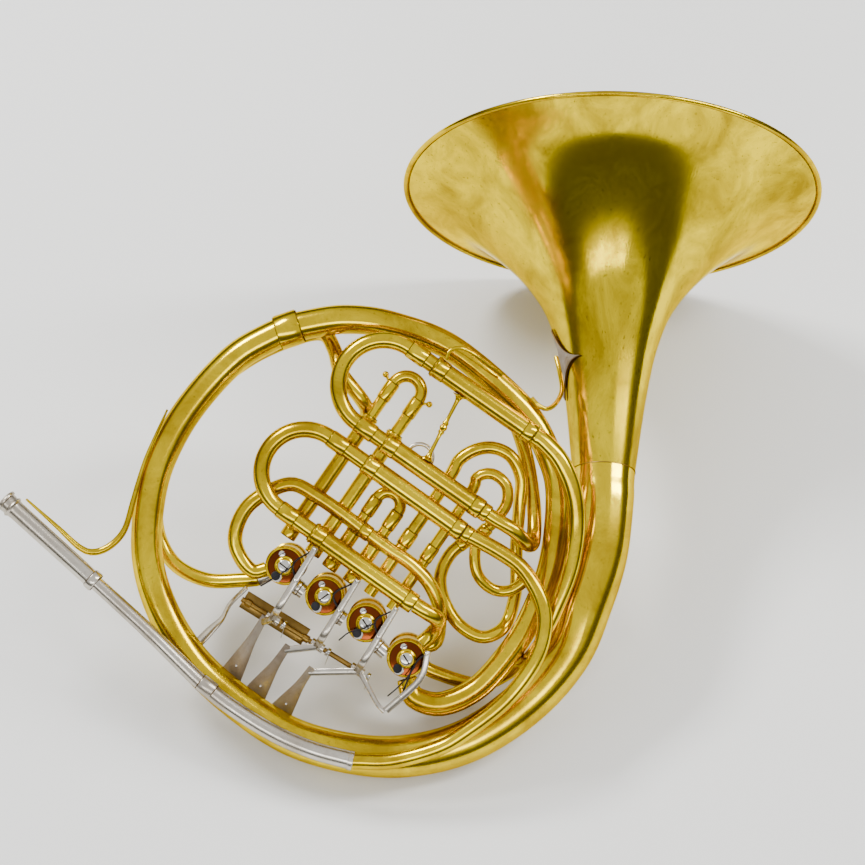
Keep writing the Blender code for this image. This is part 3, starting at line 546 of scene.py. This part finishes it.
def valves():
    for number, (x, y) in enumerate(VALVES, 1):
        at = (x, y, 0)
        shell = [(CASING_BORE, CASING_FRONT - 0.6), (CASING_BORE + 0.4, CASING_FRONT),
                 (CASING_RADIUS - 0.5, CASING_FRONT), (CASING_RADIUS, CASING_FRONT - 0.5),
                 (CASING_RADIUS, CASING_FRONT - 3), (CASING_RADIUS - 0.8, 14.4), (CASING_RADIUS - 0.8, -17),
                 (CASING_RADIUS, -17.6), (CASING_RADIUS, -19.4), (CASING_RADIUS - 0.6, -20),
                 (CASING_RADIUS - 0.6, -22), (CASING_RADIUS, -22.6), (CASING_RADIUS, CASING_BACK + 0.7),
                 (CASING_RADIUS - 0.7, CASING_BACK), (CASING_BORE - 3, CASING_BACK),
                 (CASING_BORE - 3, CASING_BACK + 3), (CASING_BORE, CASING_BACK + 3)]
        turned(f"valve_{number}_case", shell, BRASS, at=at, sides=56, closed=True,
               nodes=(f"valve_{number}_casing",))
        top = CASING_FRONT + GAP
        rim = [(PLATE_RADIUS - 1.5, top), (PLATE_RADIUS, top), (PLATE_RADIUS, PLATE_TOP - 0.5),
               (PLATE_RADIUS - 0.5, PLATE_TOP), (PLATE_RADIUS - 1.1, PLATE_TOP),
               (PLATE_RADIUS - 1.5, PLATE_TOP - 0.5)]
        turned(f"valve_{number}_plate_rim", rim, BRASS, at=at, sides=56, closed=True)
        disc = [(SPINDLE_RADIUS + 0.3, top), (PLATE_RADIUS - 1.5, top), (PLATE_RADIUS - 1.5, PLATE_TOP - 0.5),
                (PLATE_RADIUS - 4, PLATE_TOP - 0.25), (SPINDLE_RADIUS + 0.3, PLATE_TOP - 0.1)]
        turned(f"valve_{number}_cork_plate", disc, PLATE, at=at, sides=56, closed=True,
               nodes=(f"valve_{number}_plate",))
        rotor = f"rotor_{number}"
        body = [(0.1, CASING_BACK + 4), (CASING_BORE - 0.4, CASING_BACK + 4),
                (CASING_BORE - 0.4, CASING_FRONT - 1), (SPINDLE_RADIUS, CASING_FRONT - 1),
                (SPINDLE_RADIUS, 21.7), (6.4, 21.7), (6.7, 22), (6.7, 23.4), (HUB_RADIUS + 0.4, 23.8),
                (HUB_RADIUS - 0.4, 24.6), (HUB_RADIUS + 0.4, 25.4), (HUB_RADIUS + 0.3, 26),
                (HUB_RADIUS - 0.2, HUB_TOP), (4.5, HUB_TOP), (4.4, HUB_TOP - 0.4), (0.1, HUB_TOP - 0.4)]
        turned(f"valve_{number}_rotor_body", body, BRASS, rotor, at=at, sides=48,
               nodes=(f"valve_{number}_rotor",))
        screw(f"valve_{number}_hub_screw", (x, y, HUB_TOP - 0.4), 4.3, 1.0, SLOT_TURNS[number - 1], rotor)
        screw(f"valve_{number}_plate_screw", (x - 1.8, y + 8.2, PLATE_TOP - 0.4), 2.5, 1.8, math.radians(30))
        cup = [(0.1, 0), (3.6, 0), (3.6, 1.7), (3.2, 2.1), (0.1, 2.1)]
        turned(f"valve_{number}_bumper_cup", cup, STEEL, at=(x - 5.3, y - 7.6, PLATE_TOP - 0.2), sides=32)
        pad = [(0.1, 0), (3.0, 0), (3.2, 0.5), (3.2, 2.4), (2.8, 3.1), (2.0, 3.4), (0.1, 3.5)]
        turned(f"valve_{number}_bumper", pad, CORK, at=(x - 6.1, y - 6.8, PLATE_TOP - 0.2), sides=32,
               smooth_angle=60)
    for number, ((ax, ay), (bx, by)) in enumerate(zip(VALVES, VALVES[1:]), 1):
        a, b = Vector((ax, ay, 8)), Vector((bx, by, 8))
        step = (b - a).normalized()
        ends = [a + LINK_SHIFT + step * LINK_REACH, b + LINK_SHIFT - step * LINK_REACH]
        tube(f"valve_link_{number}_pipe", ends, LINK_PIPE, NICKEL, nodes=(f"valve_link_{number}",))
        ferrule(f"valve_link_{number}_collar", ends[0] + step * 1.2, step, LINK_PIPE, NICKEL, length=3.0,
                thick=0.5)


def ball(name, at, radius, look, body):
    """A round knob or screw head."""
    outline = [(max(0.05, radius * math.sin(math.pi * k / 14)), -radius * math.cos(math.pi * k / 14))
               for k in range(15)]
    turned(name, outline, look, body, at=at, sides=28, smooth_angle=80)


def valve_slides():
    x, y = VALVES[0]
    slide("valve_1_slide", (x, y), VALVE_SLIDE_ANGLE, ((VALVE_SLIDE_START, 118), (VALVE_SLIDE_START, 118)),
          55, 147, 10.5, VALVE_SLIDE_Z, VALVE_RADII)
    for label, across in (("upper", 1), ("lower", -1)):
        stem_low = Vector(along((x, y), VALVE_SLIDE_ANGLE, 146.5, across * 14.6, VALVE_SLIDE_Z))
        stem_high = Vector(along((x, y), VALVE_SLIDE_ANGLE, 148.5, across * 18.5, VALVE_SLIDE_Z))
        tube(f"valve_1_knob_stem_{label}", [stem_low, stem_high], 1.1, BRASS, "valve_1_slide", sides=14,
             hollow=False)
        ball(f"valve_1_knob_{label}", stem_high, 2.3, BRASS, "valve_1_slide")
    x, y = VALVES[1]
    slide("valve_2_slide", (x, y), VALVE_SLIDE_ANGLE, ((VALVE_SLIDE_START, 56), (VALVE_SLIDE_START, 56)),
          30, 76, 8.8, VALVE_SLIDE_Z, VALVE_RADII)
    x, y = VALVES[2]
    start = [along((x, y), VALVE_SLIDE_ANGLE, run, LOOP_HALF, VALVE_SLIDE_Z)
             for run in (VALVE_SLIDE_START, 108)]
    outer = start + [(20, -18, 2), (38, -10.5, 3), (54, -16, 3), (62, -32, 0), (61, -52, -4), (59, -80, -7),
                     (59, -108, -10), (54, -130, -8), (46, -140, -2), (33, -143, 0), (18, -134, -2),
                     (8, -118, -4), (5.5, -101, -4), (12, -86, -4), (22, -77, -3)]
    tube("valve_3_outer_loop_pipe", outer, 4.6, BRASS, nodes=("valve_3_outer_loop",))
    start = [along((x, y), VALVE_SLIDE_ANGLE, run, -LOOP_HALF, VALVE_SLIDE_Z)
             for run in (VALVE_SLIDE_START, 110)]
    inner = start + [(31, -31.5, 3), (42, -29, 5), (51.5, -37, 6), (51.5, -50, 6), (43, -62, 6),
                     (33, -72, 7), (29.5, -84, 7), (31, -98, 6), (38, -107, 3), (46.5, -111, 0),
                     (56, -110, 0), (66, -103, 1)]
    tube("valve_3_inner_loop_pipe", inner, 4.1, BRASS, nodes=("valve_3_inner_loop",))
    up = Vector(along((0, 0), VALVE_SLIDE_ANGLE, 1, 0, 0))
    for across, radius, label in ((LOOP_HALF, 4.7, "outer"), (-LOOP_HALF, 4.2, "inner")):
        for run in (58, 104):
            at = Vector(along((x, y), VALVE_SLIDE_ANGLE, run, across, VALVE_SLIDE_Z))
            ferrule(f"valve_3_{label}_band_{run}", at, up, radius, BRASS, length=11)
    pipe_collars("loop", [((34, -71, 7), (0.72, 0.75, 0)), ((23.5, -76, -3), (-0.8, -0.6, 0))], 4.4, BRASS, 6)


# --- levers ---

def string_piece(number, tip, foot, body):
    """The string from a lever's tip round the valve hub to its bar, with its screws and loose end."""
    x, y = VALVES[number - 1]
    hub = Vector((x, y, HUB_TOP - 1.6))
    beside = (tip.lerp(foot, 0.3) - hub) * Vector((1, 1, 0))
    wrap = hub + beside.normalized() * (HUB_RADIUS + 1.7)
    under = Vector((0, 0, -1.6))
    tube(f"valve_{number}_string_cord", [tip.lerp(foot, 0.05) + under, wrap, tip.lerp(foot, 0.9) + under],
         0.6, STRING, body, nodes=(f"valve_{number}_string",), sides=10, hollow=False)
    if number in LOOSE_ENDS:
        loose = [wrap + Vector(step) for step in LOOSE_ENDS[number]]
        tube(f"valve_{number}_string_tail", loose, 0.5, STRING, body, sides=10, hollow=False)
    for label, share in (("tip", 0.05), ("foot", 0.9)):
        at = tip.lerp(foot, share) + Vector((0, 0, 0.5))
        ball(f"valve_{number}_string_screw_{label}", at, 1.5, STEEL, body)


def levers():
    tube("hinge_rod_pin", [HINGE_START, HINGE_END], 1.8, SADDLE, nodes=("hinge_rod",), sides=20, hollow=False)
    under = Vector((0, 0, -6.6))
    strip_piece("hinge_saddle_plate", [(*(HINGE_START + under + ALONG_ROD), 13),
                                       (*(HINGE_START + under + ALONG_ROD * 52), 13)], 2, SADDLE, "horn",
                ("hinge_saddle",))
    for index, run in enumerate((3, 28, 50, 90), 1):
        at = HINGE_START + ALONG_ROD * run
        collar(f"hinge_knuckle_{index}", at, ALONG_ROD, 1.8, 5, 1.0, SADDLE)
        if run < 60:
            tube(f"hinge_post_{index}", [at + ALONG_ROD * 2.5, at + ALONG_ROD * 2.5 + Vector((0, 0, -6))],
                 1.6, SADDLE, sides=16, hollow=False)
    upward = Vector((0, 0, 1))
    sideways = ALONG_ROD.cross(upward)
    tips = [(-80, -79, 30.5), (-51, -101, 30.5), (-24.5, -120, 30.5)]
    heads = [(-119, -132.2, 5.5), (-102.9, -151.8, 5.5), (-86.2, -167.1, 5.5)]
    ends = [(-150, -184, -20), (-132.5, -195, -20.5), (-113.5, -206, -21)]
    for number, (tip, head, end) in enumerate(zip(tips, heads, ends), 1):
        tip, head, end = Vector(tip), Vector(head), Vector(end)
        pivot = HINGE_START + ALONG_ROD * (tip - HINGE_START).dot(ALONG_ROD)
        knuckle = (*(pivot + Vector((0, 0, KNUCKLE_HEIGHT))), 5)
        middle = tip.lerp(Vector((*knuckle[:2], tip.z)), 0.5)
        bend = tip.lerp(Vector((*knuckle[:2], tip.z - 2)), 0.84)
        body = f"lever_{number}"
        strip_piece(f"{body}_bar", [(*tip, 4), (*middle, 4.6), (*bend, 5.2), knuckle], LEVER_THICKNESS,
                    NICKEL, body, (body,), across=ALONG_ROD)
        foot = Vector(knuckle[:3])
        strip_piece(f"{body}_bracket", [(*foot, 5), (*foot.lerp(head, 0.35), 5), (*head, 5)],
                    LEVER_THICKNESS, NICKEL, body)
        outline = ((-0.08, 5), (0.25, 7), (0.55, 12.5), (0.85, 17.5), (1.0, 14))
        key = [(*head.lerp(end, share), width) for share, width in outline]
        strip_piece(f"{body}_key", key, 1.6, KEY, body, across=ALONG_ROD)
        rivet = head.lerp(end, 0.62) + Vector((0, 0, 1.3))
        turned(f"{body}_key_rivet", [(0.1, 0), (0.9, 0), (0.9, 0.5), (0.6, 0.8), (0.1, 0.8)], STEEL, body,
               at=rivet, sides=20)
        tube(f"{body}_barrel", [pivot - ALONG_ROD * 5, pivot + ALONG_ROD * 5], 3.4, NICKEL, body, sides=24)
        tube(f"{body}_barrel_post", [pivot + Vector((0, 0, 3)), pivot + Vector((0, 0, 6.8))],
             1.8, NICKEL, body, sides=16, hollow=False)
        string_piece(number, tip, middle, body)
        coil = [pivot + ALONG_ROD * (7.5 + 0.6 * k / 10) + 2.9 * (
            math.cos(k * math.tau / 10) * upward + math.sin(k * math.tau / 10) * sideways) for k in range(41)]
        arm = [coil[-1] + Vector((-1.5, -4, -4)), coil[-1] + Vector((-3.5, -9, -10))]
        tube(f"{body}_spring", coil + arm, 0.35, STEEL, sides=8, hollow=False)
    pivot = HINGE_START - ALONG_ROD * 4
    paddle = [(*(pivot + Vector((7, 6, 1))), 5), (*(pivot + Vector((-5, -6, -3))), 5), (-148, -131, -8, 6),
              (-156, -139, -12, 11), (-163, -146, -13, 13), (-167, -150, -13, 9)]
    strip_piece("thumb_lever_paddle", paddle, 1.7, NICKEL, "thumb_lever", ("thumb_lever",),
                across=Vector((0.35, -0.35, 1.0)))
    pivot = HINGE_END + ALONG_ROD * 2
    strip_piece("valve_four_arm_bar", [(-3, -150, 30.5, 4), (-9, -170, 27.5, 4.6), (-32, -192, 20, 5)],
                LEVER_THICKNESS, NICKEL, "thumb_lever", ("valve_four_arm",),
                across=Vector((0.82, -0.57, 0)))
    strip_piece("valve_four_arm_link", [(-33, -193, 19, 3.4), (-38, -188, 18, 3.2), (-44, -178, 13, 3.2),
                                        (*(pivot + Vector((0.5, -0.5, 3.8))), 4)], LEVER_THICKNESS, NICKEL,
                "thumb_lever")
    string_piece(4, Vector((-3, -150, 30.5)), Vector((-24, -186, 22)), "thumb_lever")


# --- braces and small fittings ---

def braces():
    tips = [(113, -86), (141, -38), (166, -82)]
    centre = np.mean(tips, axis=0)
    rim = []
    for a, b in zip(np.array(tips, float), np.array(tips[1:] + tips[:1], float)):
        waist = centre + ((a + b) / 2 - centre) * 0.55
        rim += [(1 - t) ** 2 * a + 2 * t * (1 - t) * (2 * waist - (a + b) / 2) + t * t * b
                for t in np.arange(12) / 12]
    shares = (0.02, 0.35, 0.7, 0.97, 1.0, 1.0)
    lifts = (2.5, 2.5, 2.5, 2.5, 2.2, 0.6)
    rings = [[on_bell(*(centre + (spot - centre) * share), lift) for spot in rim]
             for share, lift in zip(shares, lifts)]
    made = place("bell_gusset_plate", *skin(rings), KEY, "horn", 50)
    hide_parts("bell_gusset")
    outline = [[on_bell(*(centre + (spot - centre) * share), lift) for spot in rim]
               for share, lift in ((0.4, 1.6), (1.03, 1.6), (1.05, 1.2), (1.05, 0.3))]
    place("bell_gusset_solder", *skin(outline), SOLDER, "horn", 50)
    tube("bell_brace_wire", [(88.6, 54, -35.5), (90.5, 44, -29), (91.5, 30, -16), (86.5, 20.5, -3),
                             (79.9, 16.4, 5), (73.4, 19.1, 8), (69, 24, 7)], 1.7, BRASS,
         nodes=("bell_brace",), sides=16, hollow=False)
    tube("upper_stay_wire", [(9, 50, 28, 1.4), (12, 56, 28, 1.4), (19, 58, 27, 1.5), (28, 54, 24, 1.6),
                             (38, 47, 18, 1.8), (48, 40, 12, 1.8)], 0, BRASS, nodes=("upper_stay",),
         sides=16, hollow=False)
    high, low = Vector((22, 31.5, SLIDE_Z)), Vector((-7, -24.8, SLIDE_Z))
    run = (low - high).length
    half = run / 2
    outline = [(0.1, 6.6), (5.2, 6.8), (5.0, 7.4), (3.0, 8.2), (2.0, 9.6), (1.5, 12), (1.3, half - 9),
               (1.5, half - 5), (2.3, half - 3.6), (2.3, half - 2.8), (1.7, half - 2.2), (2.4, half - 1.2),
               (2.8, half), (2.4, half + 1.2), (1.7, half + 2.2), (2.3, half + 2.8), (2.3, half + 3.6),
               (1.5, half + 5), (1.3, half + 9), (1.5, run - 12), (2.0, run - 9.6), (3.0, run - 8.2),
               (5.0, run - 7.4), (5.2, run - 6.8), (0.1, run - 6.6)]
    turned("turned_brace_post", outline, BRASS, at=high, axis=low - high, sides=32, nodes=("turned_brace",))
    ring = [(9 + 1.5 * math.cos(math.tau * k / 16), 1.5 * math.sin(math.tau * k / 16)) for k in range(16)]
    turned("finger_hook_ring", ring, NICKEL, at=(-9, -17, 17), sides=48, closed=True, nodes=("finger_ring",),
           smooth_angle=80)


# --- stage ---

def plain(name, colour, rough):
    """A matt surface that is very nearly one colour."""
    made = bpy.data.materials.new(name)
    made.use_nodes = True
    tree = made.node_tree
    shader = tree.nodes["Principled BSDF"]
    noise = node(tree, "ShaderNodeTexNoise", Scale=3.0, Detail=4.0)
    tree.links.new(tree.nodes.new("ShaderNodeTexCoord").outputs["Object"], noise.inputs["Vector"])
    tone = ramp(tree, noise.outputs["Fac"], [(0.3, colour), (0.7, tuple(c * 0.985 for c in colour))])
    tree.links.new(tone, shader.inputs["Base Color"])
    shader.inputs["Roughness"].default_value = rough
    shader.inputs["Specular IOR Level"].default_value = 0.2
    return made


def area_light(name, at, aim, size, power):
    lamp = bpy.data.lights.new(name, "AREA")
    lamp.shape = "RECTANGLE"
    lamp.size, lamp.size_y = size
    lamp.energy = power
    made = bpy.data.objects.new(name, lamp)
    bpy.context.collection.objects.link(made)
    made.location = at
    made.rotation_euler = (Vector(aim) - Vector(at)).to_track_quat("-Z", "Y").to_euler()
    return made


def stage():
    mesh = bpy.data.meshes.new("floor")
    mesh.from_pydata([(-1.3, -1.1, 0), (1.3, -1.1, 0), (1.3, 1.5, 0), (-1.3, 1.5, 0)], [], [(0, 1, 2, 3)])
    floor = bpy.data.objects.new("floor", mesh)
    bpy.context.collection.objects.link(floor)
    floor.location.z = -0.0006
    mesh.materials.append(plain("pale_paper", (0.89, 0.89, 0.87), 0.75))
    world = bpy.data.worlds.new("studio")
    bpy.context.scene.world = world
    world.use_nodes = True
    tree = world.node_tree
    background = tree.nodes["Background"]
    direction = tree.nodes.new("ShaderNodeTexCoord").outputs["Generated"]
    split = tree.nodes.new("ShaderNodeSeparateXYZ")
    tree.links.new(direction, split.inputs[0])
    tone = ramp(tree, split.outputs["Z"], [(0.0, (0.10, 0.10, 0.085)), (0.30, (0.15, 0.148, 0.13)),
                                           (0.42, (0.8, 0.8, 0.8)), (1.0, (0.95, 0.95, 0.96))])
    tree.links.new(tone, background.inputs["Color"])
    background.inputs["Strength"].default_value = 1.04
    area_light("key_softbox", (-1.1, 0.9, 1.7), (0, 0, 0.1), (0.8, 0.4), 47)
    area_light("right_softbox", (1.4, 0.2, 1.5), (0, 0, 0.1), (0.3, 1.2), 27)
    area_light("front_strip", (-0.2, -1.5, 1.2), (0, 0, 0.1), (1.6, 0.35), 10)


def camera():
    """Square on to the plane of the ring, 1.5 m from it."""
    distance = 1.5
    millimetres_per_dot = 0.70
    lens = bpy.data.cameras.new("camera")
    lens.sensor_width = 36
    lens.lens = 36 * distance * 1000 / (865 * millimetres_per_dot)
    lens.clip_end = 30
    made = bpy.data.objects.new("camera", lens)
    bpy.context.collection.objects.link(made)
    made.matrix_world = HORN @ Matrix.Translation((0, 0, distance))
    bpy.context.scene.camera = made


bell()
main_spiral()
mouthpipe()
main_slides()
valves()
valve_slides()
levers()
braces()
stage()
camera()
